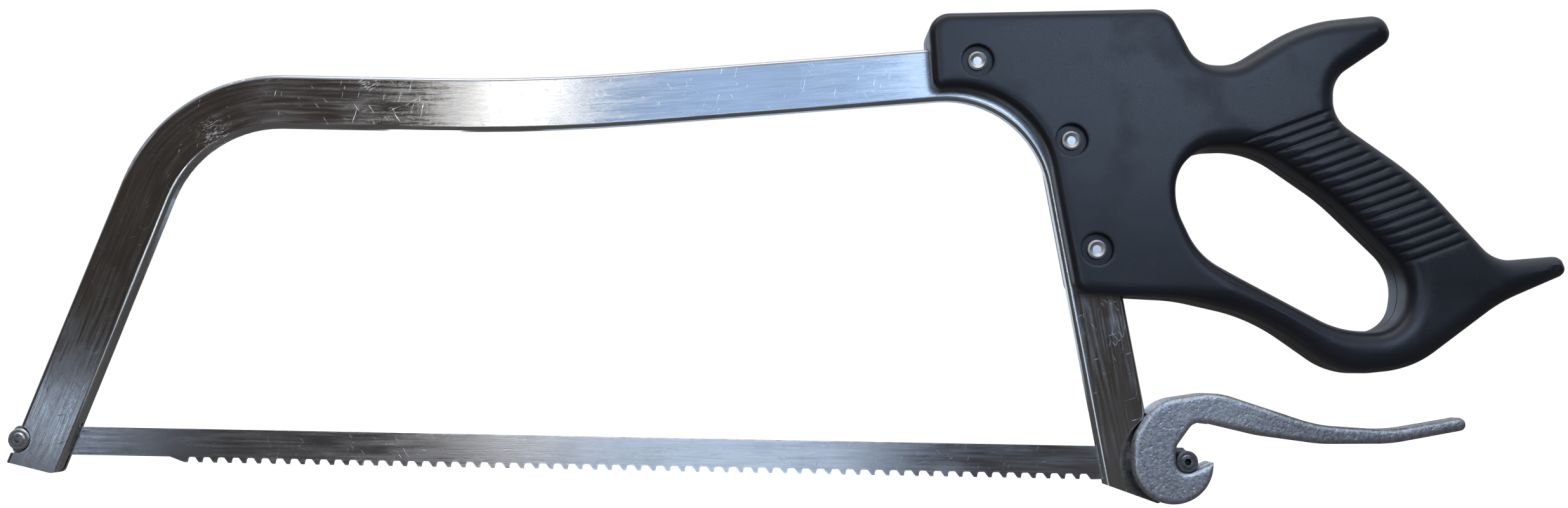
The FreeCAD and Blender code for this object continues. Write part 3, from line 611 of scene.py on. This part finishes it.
def cast_finish(name, light, dark, worn):
    """A sand-cast skin: pitted and lumpy, with painted shade in its hollows and polished bright where it
    rubs.
    """
    finish = Finish(name, Metallic=1.0)
    lumps = finish.noise(finish.place, 760.0, 4.0, 0.65)
    grit = finish.noise(finish.place, 1300.0, 3.0, 0.6)
    pits = finish.add("TexVoronoi", {"Vector": finish.place, "Scale": 480.0}, out="Distance")
    pit = finish.between(pits, 0.05, 0.3)
    wear = finish.effect(EDGE_WEAR, Radius=0.0018, Grain=260.0)["Wear"]
    painted_shade = finish.effect(PAINTED_CORNER_SHADE, Reach=0.005, Grain=180.0)["PaintedShade"]
    scuffed = finish.effect(SCUFFS, Scale=55.0, Sparse=0.62)
    colour = finish.blend(finish.between(lumps, 0.35, 0.65), rgb(*dark), rgb(*light))
    colour = finish.blend(finish.math("MULTIPLY", scuffed["Rubbed"], 0.35), colour, rgb(*worn))
    # Painted shade: near-black blended into the occluded hollows.
    colour = finish.blend(finish.math("MULTIPLY", painted_shade, 0.85), colour, rgb(0.03, 0.028, 0.028))
    colour = finish.blend(finish.math("MULTIPLY", wear, 0.9), colour, rgb(*worn))
    gloss = finish.between(grit, 0.3, 0.7, 0.34, 0.5)
    gloss = finish.math("SUBTRACT", gloss, finish.math("MULTIPLY", wear, 0.18), True)
    height = finish.math("ADD", finish.math("MULTIPLY", lumps, 0.7), finish.math("MULTIPLY", grit, 0.25))
    height = finish.math("ADD", height, finish.math("MULTIPLY", pit, 0.25))
    return finish.set(Base_Color=colour, Roughness=gloss, Normal=finish.bump(height, 0.8, 0.0003))


def plastic_finish(name, light, dark, worn):
    """Moulded plastic: a fine spark-eroded grain, faint flow marks, scuffs, greyed edges and painted shade in
    recesses.
    """
    finish = Finish(name, Specular_IOR_Level=0.5)
    flow = finish.noise(finish.stretch(finish.place, 1.0, 3.0), 18.0, 4.0)
    grain = finish.noise(finish.place, 2600.0, 2.0, 0.6)
    scuffed = finish.effect(SCUFFS, Scale=130.0, Sparse=0.71)
    wear = finish.effect(EDGE_WEAR, Radius=0.0008, Grain=350.0)["Wear"]
    painted_shade = finish.effect(PAINTED_CORNER_SHADE, Reach=0.003, Grain=160.0)["PaintedShade"]
    colour = finish.blend(finish.between(flow, 0.35, 0.65), rgb(*dark), rgb(*light))
    colour = finish.blend(finish.math("MULTIPLY", scuffed["Scratches"], 0.35), colour, rgb(*worn))
    colour = finish.blend(finish.math("MULTIPLY", wear, 0.25), colour, rgb(*worn))
    # Painted shade: the occluded recesses blended toward black.
    colour = finish.blend(finish.math("MULTIPLY", painted_shade, 0.5), colour, rgb(0.006, 0.006, 0.006))
    gloss = finish.between(grain, 0.3, 0.7, 0.3, 0.4)
    gloss = finish.math("ADD", gloss, finish.math("MULTIPLY", scuffed["Rubbed"], 0.1))
    gloss = finish.math("ADD", gloss, finish.math("MULTIPLY", painted_shade, 0.25), True)
    height = finish.math("SUBTRACT", finish.math("MULTIPLY", grain, 0.5), scuffed["Scratches"])
    return finish.set(Base_Color=colour, Roughness=gloss, Normal=finish.bump(height, 0.35, 0.00006))


FINISHES = {
    "stainless_bar": metal_finish(
        "brushed_stainless_bar", (0.68, 0.68, 0.68), (0.50, 0.50, 0.50), 0.15, (0.85, 0.86, 0.88),
        map_name="along_bar", streak_scale=6.0, streak_depth=0.3,
        rubs=((68.0, 119.0, 9.0), (127.0, 141.0, 5.0), (38.0, 30.0, 7.0))),
    "blade_steel": metal_finish(
        "ground_blade_steel", (0.60, 0.60, 0.62), (0.42, 0.42, 0.44), 0.2, (0.80, 0.81, 0.84),
        streak_scale=60.0, streak_depth=0.25, stain=0.4),
    "collar_steel": metal_finish(
        "turned_collar_steel", (0.62, 0.62, 0.63), (0.36, 0.36, 0.37), 0.26, (0.85, 0.85, 0.86),
        streak_scale=200.0, shade_reach=0.002),
    # Painted shade: a much darker copy of the collar steel for the rear pin and collars in the lever's notch;
    # it is also rougher and more stained.
    "shaded_dull_collar_steel": metal_finish(
        "shaded_dull_collar_steel", (0.26, 0.26, 0.27), (0.12, 0.12, 0.13), 0.42, (0.5, 0.5, 0.52),
        streak_scale=200.0, shade_reach=0.003, stain=0.6),
    "fastener_steel": metal_finish(
        "dull_fastener_steel", (0.82, 0.82, 0.82), (0.58, 0.58, 0.58), 0.36, (0.75, 0.75, 0.77),
        streak_scale=220.0, shade_reach=0.003, stain=0.5),
    "cast_lever": cast_finish(
        "sand_cast_lever", (0.66, 0.67, 0.69), (0.36, 0.37, 0.39), (0.90, 0.91, 0.93)),
    "handle_plastic": plastic_finish(
        "moulded_handle_plastic", (0.018, 0.020, 0.027), (0.010, 0.011, 0.015), (0.07, 0.075, 0.085)),
    "dowel_plastic": plastic_finish(
        "dowel_plastic", (0.05, 0.05, 0.055), (0.03, 0.03, 0.033), (0.10, 0.10, 0.11)),
}


def wear_finish(piece, finish):
    piece.data.materials.clear()
    piece.data.materials.append(FINISHES[finish])


# ---------------------------------------------------------------- handle

SHELL_FACE = 13.0
PANEL_ROUND = 3.5
GRIP_ROUND = 7.0
PANEL_END = 432.0
GRIP_START = 468.0
EDGE_DEPTHS = (0.2, 0.6, 1.3, 2.2, 3.4, 5.0, 7.0)
PARTING_CHAMFER = 0.3
RECESS_RADIUS = 6.0
RECESS_FLOOR = 10.6
RECESS_LIP = 0.5
RECESS_RINGS = (
    (2.0, 12), (4.0, 24), (5.5, 48), (5.95, 60), (6.1, 60), (6.25, 60), (6.4, 60), (6.6, 60), (7.5, 48),
)
SLEEVE_BORE = 2.6
DOWEL_BORE = 2.05
DOWEL_REACH = 7.3
CHANNEL_PLAY = 0.1
CHANNEL_SPAN = slice(20, -8)
EDGE_SPACING = 1.0
FIELD_SPACING = 2.0
FIELD_GAP = 0.9
GRID_FROM_EDGE = 3.0
GRID_FROM_HOLE = 0.9
GRID_OVERLAP = 0.2
RING_CLEARANCE = 0.4
RIM_CLEARANCE = 0.15

# Measured from the corner where the bar's rise and its rear leg would meet.
HANDLE_CORNERS = (
    (-49.7, 17.7, 8.0),
    (43.2, 21.4, 10.0),
    (54.6, 0.3, 11.0),
    (68.5, 0.0, 19.0),
    (96.0, 17.6, 60.0),
    (127.5, 21.4, 6.5),
    (131.2, 11.8, 5.0),
    (108.0, -4.3, 13.0),
    (107.7, -19.8, 13.0),
    (139.5, -42.0, 110.0),
    (168.6, -74.0, 14.0),
    (193.6, -71.5, 3.4),
    (196.18, -78.3, 3.4),
    (170.5, -89.8, 60.0),
    (136.5, -115.6, 38.0),
    (110.5, -118.8, 28.0),
    (79.5, -97.5, 70.0),
    (49.3, -90.7, 60.0),
    (7.97, -89.3, 5.5),
    (-7.52, -8.07, 37.2),
    (-47.2, -11.96, 3.6),
)
HAND_HOLE_CORNERS = (
    (46.0, -32.8, 17.0),
    (78.5, -31.4, 36.0),
    (107.0, -50.9, 80.0),
    (135.9, -78.7, 20.0),
    (132.3, -101.4, 13.0),
    (109.2, -101.9, 38.0),
    (54.7, -73.8, 27.0),
    (46.0, -56.0, 25.0),
)
DOWEL_PLACES = ((76.5, -16.4), (107.0, -109.4))

# The grip's finger grooves: parallel, rising to the back, from below the panel to the palm swell.
GROOVE_START = Vector((471.3, 124.3))
GROOVE_SLOPE = slanted(21.0)
GROOVE_STEP = slanted(-69.0)
GROOVE_PITCH = 4.0
GROOVE_COUNT = 17
GROOVE_DEPTH = 0.8
GROOVE_WIDTH = 0.66
GROOVE_ROW = 0.36
GROOVE_RUN = 1.8
GROOVE_LENGTH = 66.0


def in_layout(node):
    centre = middle(node)
    return (centre.x - FRONT_RIVET.x) / MM, (centre.z - FRONT_RIVET.z) / MM


FASTENERS = [in_layout("handle_screw_%d" % number) for number in (1, 2, 3)]


def groove_depth(points, hole_depth, edge_depth):
    down = (points - np.array(GROOVE_START)) @ np.array(GROOVE_STEP)
    nearest = np.clip(np.round(down / GROOVE_PITCH), 0, GROOVE_COUNT - 1) * GROOVE_PITCH
    cut_in = GROOVE_DEPTH * np.exp(-((down - nearest) / GROOVE_WIDTH) ** 2)
    behind = (points - np.array(GROOVE_START)) @ np.array(GROOVE_SLOPE)
    return cut_in * eased(hole_depth, 0.8, 2.2) * eased(edge_depth, 3.5, 6.5) * eased(behind, -9.0, -5.0)


def shell_height(points, loops):
    edge_depth = distance_to(points, loops[0])
    hole_depth = distance_to(points, loops[1])
    softness = eased(points[:, 0], PANEL_END, GRIP_START)
    radius = PANEL_ROUND + (GRIP_ROUND - PANEL_ROUND) * softness
    height = rounded_face(np.minimum(edge_depth, hole_depth), SHELL_FACE, radius)
    height -= groove_depth(points, hole_depth, edge_depth)
    for x, z in FASTENERS:
        out = np.hypot(points[:, 0] - x, points[:, 1] - z)
        lip = SHELL_FACE - RECESS_LIP + np.sqrt(np.clip(
            RECESS_LIP ** 2 - np.clip(RECESS_RADIUS + 0.1 + RECESS_LIP - out, 0, RECESS_LIP) ** 2, 0, None))
        bowl = np.where(out < RECESS_RADIUS - 0.04, RECESS_FLOOR, lip)
        height = np.minimum(height, np.where(out < RECESS_RADIUS + RECESS_LIP + 0.1, bowl, SHELL_FACE))
    return height


def groove_grid(loops):
    rows = np.arange(-1.5, (GROOVE_COUNT - 1) * GROOVE_PITCH + 1.5, GROOVE_ROW)
    runs = np.arange(-8.0, GROOVE_LENGTH, GROOVE_RUN)
    row, run = np.meshgrid(rows, runs)
    points = (np.array(GROOVE_START) + row.reshape(-1, 1) * np.array(GROOVE_STEP)
              + run.reshape(-1, 1) * np.array(GROOVE_SLOPE))
    points = points[within(points, loops)]
    away = np.minimum(distance_to(points, loops[0]) - GRID_FROM_EDGE,
                      distance_to(points, loops[1]) - GRID_FROM_HOLE)
    return points[away > 0]


def in_groove_field(points):
    down = (points - np.array(GROOVE_START)) @ np.array(GROOVE_STEP)
    behind = (points - np.array(GROOVE_START)) @ np.array(GROOVE_SLOPE)
    return ((down > -2.0) & (down < (GROOVE_COUNT - 1) * GROOVE_PITCH + 2.0)
            & (behind > -8.5) & (behind < GROOVE_LENGTH))


def clear_of(points, places, radius):
    for x, z in places:
        points = points[np.hypot(points[:, 0] - x, points[:, 1] - z) > radius]
    return points


def add_shell():
    """The near half of the handle: a rounded, grooved face, straight sides and a flat parting face."""
    loops = [rounded(HANDLE_CORNERS, REAR_CORNER), rounded(HAND_HOLE_CORNERS, REAR_CORNER, step=1.0)]
    edges = contour_points(loops, EDGE_DEPTHS, EDGE_SPACING)
    field = honeycomb(loops, FIELD_SPACING, EDGE_DEPTHS[-1] + FIELD_GAP)
    grid = groove_grid(loops)
    deep_grid = np.minimum(distance_to(edges, loops[0]) - GRID_FROM_EDGE,
                           distance_to(edges, loops[1]) - GRID_FROM_HOLE)
    edges = edges[~(in_groove_field(edges) & (deep_grid > -GRID_OVERLAP))]
    field = field[~in_groove_field(field)]
    field = clear_of(np.concatenate([edges, field]), FASTENERS, RECESS_RINGS[-1][0] + RING_CLEARANCE)
    rings = [circle(x, z, radius, count) for x, z in FASTENERS for radius, count in RECESS_RINGS]
    rings = np.concatenate(rings)
    rings = rings[within(rings, loops)]
    rim_distance = np.minimum(distance_to(rings, loops[0]), distance_to(rings, loops[1]))
    rings = rings[rim_distance > RIM_CLEARANCE]
    places, triangles, sources = triangulated(loops, np.concatenate([field, grid, rings]),
                                              lambda middles: within(middles, loops))
    outputs = {source: index for index, group in enumerate(sources) for source in group}
    shell = Solid()
    face = shell.verts(places, -shell_height(places, loops))
    shell.faces(face, triangles)
    rims = []
    start = 0
    for loop in loops:
        rim = [face[outputs[start + index]] for index in range(len(loop))]
        start += len(loop)
        side = shell.verts(loop, [-PARTING_CHAMFER] * len(loop))
        run = np.roll(loop, -1, axis=0) - np.roll(loop, 1, axis=0)
        run /= np.linalg.norm(run, axis=1)[:, None]
        inward = np.stack([-run[:, 1], run[:, 0]], 1) * PARTING_CHAMFER
        if not within((loop + inward)[:1], loops)[0]:
            inward = -inward
        shell.wall(rim, side)
        base = shell.verts(loop + inward, [0.0] * len(loop))
        shell.wall(side, base)
        rims.append((loop + inward, base))
    flat, cap, cap_sources = triangulated([rim for rim, _ in rims], [],
                                          lambda middles: within(middles, [rim for rim, _ in rims]))
    base = [vert for _, verts in rims for vert in verts]
    outputs = {index: base[group[0]] for index, group in enumerate(cap_sources)}
    shell.faces(outputs, cap)
    return shell.finish("handle_grip_near")


near_grip = add_shell()
bolts = [prism(circle(x, z, SLEEVE_BORE, 32), -RECESS_FLOOR - 1, 1) for x, z in FASTENERS]
dowels = [prism(circle(REAR_CORNER.x + x, REAR_CORNER.y + z, DOWEL_BORE, 32), -DOWEL_REACH, 1)
          for x, z in DOWEL_PLACES]
channel = prism(strip(BAR_PATH[CHANNEL_SPAN], BAR_WIDTH + 2 * CHANNEL_PLAY),
                -BAR_THICKNESS / 2 - CHANNEL_PLAY, BAR_THICKNESS / 2 + CHANNEL_PLAY)
cut(near_grip, [channel] + bolts + dowels)
far_grip = mirrored(near_grip, "handle_grip_far")
for grip, shell_node in ((near_grip, "handle_shell_near"), (far_grip, "handle_shell_far")):
    wear_finish(grip, "handle_plastic")
    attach(grip, "saw_frame")
    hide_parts(shell_node)


# ---------------------------------------------------------------- bar

bar_data = NODES["bow_frame"].data.copy()
bar_data.name = "bent_bar"
lay_along_bar(bar_data)
bar = bpy.data.objects.new("bent_bar", bar_data)
bpy.context.scene.collection.objects.link(bar)
wear_finish(bar, "stainless_bar")
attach(bar, "saw_frame")
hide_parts("bow_frame")


# ---------------------------------------------------------------- lever

LEVER_RADIUS = 15.4
LEVER_HALF = 7.0
TIP_HALF = 4.0
LEVER_REACH = 112.6
LEVER_EDGE = 1.7
LEVER_DEPTHS = (0.15, 0.45, 0.9, 1.5, 2.4)
LEVER_EDGE_SPACING = 0.8
LEVER_SPACING = 1.3
LEVER_SPACING_GAP = 0.6
CASTING_RELIEF = 0.10
CASTING_GRAIN = 0.55
CASTING_LAYER = 3.7
CAM = Vector(((LEVER_PIVOT.x - FRONT_RIVET.x) / MM, (LEVER_PIVOT.z - FRONT_RIVET.z) / MM))
HOOK_SEAT = Vector((5.3, 0.8))
HOOK_RADIUS = 4.18
HOOK_LIP = 24.0
STRADDLE_HALF = BAR_THICKNESS / 2 + 0.3
LEG_GAP = 5.55
SLIT_HALF = 0.6
SLIT_TOP = 6.5
SLIT_SWEEP = 10.51
FAR_OFF = 41.2
SEAT_STEPS = 60

# Measured from the lever's pivot.
ARM_CORNERS = (
    (-15.4, -1.0, 0.5),
    (-15.4, 9.6, 13.0),
    (-6.0, 23.6, 17.0),
    (16.5, 27.4, 26.0),
    (55.6, 15.4, 60.0),
    (83.6, 14.1, 60.0),
    (112.6, 19.7, 2.4),
    (112.6, 14.6, 2.4),
    (83.6, 8.9, 60.0),
    (56.6, 8.3, 60.0),
    (35.0, 10.8, 40.0),
    (13.0, 15.6, 3.0),
    (0.0, 0.0, 0.5),
)


def hook_outline():
    wall = HOOK_SEAT.x - HOOK_RADIUS
    lip = slanted(HOOK_LIP)
    touch = HOOK_SEAT + slanted(HOOK_LIP - 90) * HOOK_RADIUS
    rise = lip.y / lip.x
    far = LEVER_RADIUS + 3.0
    return rounded((
        (wall, touch.y + (wall - touch.x) * rise, HOOK_RADIUS),
        (far, touch.y + (far - touch.x) * rise, 0),
        (far, 13.6, 0),
        (8.3, 16.2, 5.0),
        (wall, 6.3, 5.0),
    ), CAM, step=0.7)


def lever_height(points, loop):
    out = (points[:, 0] - CAM.x - LEVER_RADIUS) / LEVER_REACH
    face = LEVER_HALF - (LEVER_HALF - TIP_HALF) * np.clip(out, 0, 1)
    height = rounded_face(distance_to(points, loop), face, LEVER_EDGE)
    grains = [Vector((x * CASTING_GRAIN, z * CASTING_GRAIN, CASTING_LAYER)) for x, z in points]
    rough = np.array([noise.noise(grain) for grain in grains])
    return height - CASTING_RELIEF * np.clip(0.5 + rough, 0, 1) * eased(points[:, 0], CAM.x - 4, CAM.x + 16)


def add_lever():
    """The cast lever: the same rounded face on both sides of one outline, split for the bar and the blade."""
    disc = circle(CAM.x, CAM.y, LEVER_RADIUS, 110)
    arm = rounded(ARM_CORNERS, CAM, step=0.9)
    hook = hook_outline()

    def solid(points):
        return (inside(points, disc) | inside(points, arm)) & ~inside(points, hook)
    loop = joined_outline([disc, arm, hook], solid)
    edges = contour_points([loop], LEVER_DEPTHS, LEVER_EDGE_SPACING)
    middle_points = honeycomb([loop], LEVER_SPACING, LEVER_DEPTHS[-1] + LEVER_SPACING_GAP)
    fill = np.concatenate([edges, middle_points])
    places, triangles, sources = triangulated([loop], fill, lambda middles: inside(middles, loop))
    outputs = {source: index for index, group in enumerate(sources) for source in group}
    height = lever_height(places, loop)
    lever = Solid()
    rims = []
    for side in (-1, 1):
        face = lever.verts(places, side * height)
        lever.faces(face, triangles)
        rims.append([face[outputs[index]] for index in range(len(loop))])
    lever.wall(*rims)
    return lever.finish("cast_tension_lever")


def straddle_outline():
    opening = math.degrees(math.acos(LEG_GAP / LEVER_RADIUS))
    back = CAM - BEHIND_REAR * LEG_GAP
    start = REAR_LEAN + 180 - opening
    arc = [CAM + slanted(start + 2 * opening * part / SEAT_STEPS) * LEVER_RADIUS
           for part in range(SEAT_STEPS + 1)]
    bottom = back + DOWN_REAR * FAR_OFF
    top = back - DOWN_REAR * FAR_OFF
    return [*arc, bottom, Vector((CAM.x - FAR_OFF, bottom.y)), Vector((CAM.x - FAR_OFF, top.y)), top]


def slit_outline():
    front, back = CAM.x - FAR_OFF, CAM.x + FAR_OFF
    return [Vector((front, SLIT_TOP)), Vector((CAM.x + HOOK_SEAT.x, SLIT_TOP)),
            Vector((back, CAM.y)), Vector((back, -FAR_OFF)), Vector((front, -FAR_OFF))]


lever = add_lever()
cut(lever, [
    prism(straddle_outline(), -STRADDLE_HALF, STRADDLE_HALF),
    prism(slit_outline(), -SLIT_HALF, SLIT_HALF),
    prism(circle(CAM.x + HOOK_SEAT.x, CAM.y + HOOK_SEAT.y, SLIT_SWEEP, 96), -SLIT_HALF, SLIT_HALF),
])
wear_finish(lever, "cast_lever")
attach(lever, "lever")
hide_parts("tension_lever")


# ---------------------------------------------------------------- nodes that keep their own shapes

for number in (1, 2, 3):
    wear_finish(NODES["handle_screw_%d" % number], "fastener_steel")
    wear_finish(NODES["handle_sleeve_nut_%d" % number], "fastener_steel")
for name in ("handle_dowel_upper", "handle_dowel_lower"):
    wear_finish(NODES[name], "dowel_plastic")
wear_finish(NODES["blade"], "blade_steel")
for name in ("blade_front_rivet", "blade_front_collar_near", "blade_front_collar_far"):
    wear_finish(NODES[name], "collar_steel")
# The rear pin and collars take the darker copy, painted shade for the lever's notch.
for name in ("blade_rear_rivet", "blade_rear_collar_near", "blade_rear_collar_far"):
    wear_finish(NODES[name], "shaded_dull_collar_steel")


# ---------------------------------------------------------------- studio

FLOOR_LEVEL = -0.12
FLOOR_HALF = 6.0


def add_floor():
    """A wide pale floor, low enough that the opened lever clears it, as bright as the wall behind."""
    sheet = bmesh.new()
    half = FLOOR_HALF
    square = ((-half, -half), (half, -half), (half, half), (-half, half))
    corners = [sheet.verts.new((x, y, FLOOR_LEVEL)) for x, y in square]
    sheet.faces.new(corners)
    data = bpy.data.meshes.new("studio_floor")
    sheet.to_mesh(data)
    sheet.free()
    floor = bpy.data.objects.new("studio_floor", data)
    bpy.context.scene.collection.objects.link(floor)
    paper = Finish("studio_paper", Roughness=0.9)
    tone = paper.noise(paper.place, 2.0)
    seen = paper.add("LightPath", out="Is Camera Ray")
    pale = paper.blend(tone, rgb(0.80, 0.80, 0.80), rgb(0.84, 0.84, 0.84))
    paper.set(Base_Color=paper.blend(seen, rgb(0.13, 0.115, 0.10), pale),
              Roughness=paper.between(tone, 0.0, 1.0, 0.85, 0.95))
    paper.set(Emission_Color=paper.blend(seen, rgb(0.0, 0.0, 0.0), rgb(0.8, 0.8, 0.8)))
    paper.shader.inputs["Emission Strength"].default_value = 1.0
    data.materials.append(paper.material)


def add_room():
    """Even white all round for the camera; for the saw, a bright wall behind and a dim room in front."""
    world = bpy.data.worlds.new("soft_room")
    world.use_nodes = True
    bpy.context.scene.world = world
    net = Net(world.node_tree)
    backdrop = world.node_tree.nodes["Background"]
    where = net.add("TexCoord", out="Generated")
    parts = world.node_tree.nodes.new("ShaderNodeSeparateXYZ")
    net.tree.links.new(where, parts.inputs[0])
    behind = net.between(parts.outputs["Y"], -0.35, 0.5)
    above = net.between(parts.outputs["Z"], 0.25, 0.9)
    shade = net.blend(behind, rgb(0.055, 0.046, 0.040), rgb(0.30, 0.31, 0.33))
    shade = net.blend(above, shade, rgb(0.75, 0.80, 0.9))
    seen = net.add("LightPath", out="Is Camera Ray")
    net.feed(backdrop, "Color", net.blend(seen, shade, rgb(1.0, 1.0, 1.0)))
    backdrop.inputs["Strength"].default_value = 1.0


def add_facing_card(name, x, z, width, height, radiance, colour, side=1):
    """A card that the saw's near side mirrors at x, z (mm), or its far side where side is -1."""
    seen_from = Vector((AIM.x, -CAMERA_DISTANCE, AIM.z - CAMERA_DROP))
    mirrored_at = FRONT_RIVET + Vector((x * MM, 0, z * MM))
    place = Vector((2 * mirrored_at.x - seen_from.x, seen_from.y * side, 2 * mirrored_at.z - seen_from.z))
    add_soft_light(name, place, (place.x, 0, place.z), width, height, radiance, colour)


add_camera()
add_floor()
add_room()
bpy.context.scene.view_settings.view_transform = "Standard"
add_facing_card("window_strip", 186, 120, 0.036, 0.45, 6.0, (1.0, 0.99, 0.97))
add_facing_card("sky_card", 282, 120, 0.27, 0.38, 1.15, (0.42, 0.64, 1.0))
add_facing_card("low_bright_card", 266, -5, 0.24, 0.14, 1.35, (0.68, 0.83, 1.0))
add_facing_card("side_sky_card", 435, 160, 0.34, 0.24, 3.4, (0.56, 0.73, 1.0))
add_facing_card("low_sky_card", 20, 6, 0.05, 0.05, 2.6, (0.62, 0.78, 1.0))
add_facing_card("far_strip", 150, 120, 0.06, 0.45, 2.5, (1.0, 0.99, 0.97), side=-1)
add_facing_card("far_sky_card", 300, 110, 0.40, 0.40, 0.8, (0.60, 0.76, 1.0), side=-1)
add_soft_light("top_card", (0.0, -0.10, 0.75), (0.0, 0.0, 0.1), 0.9, 0.3, 1.4, (1.0, 1.0, 1.0))
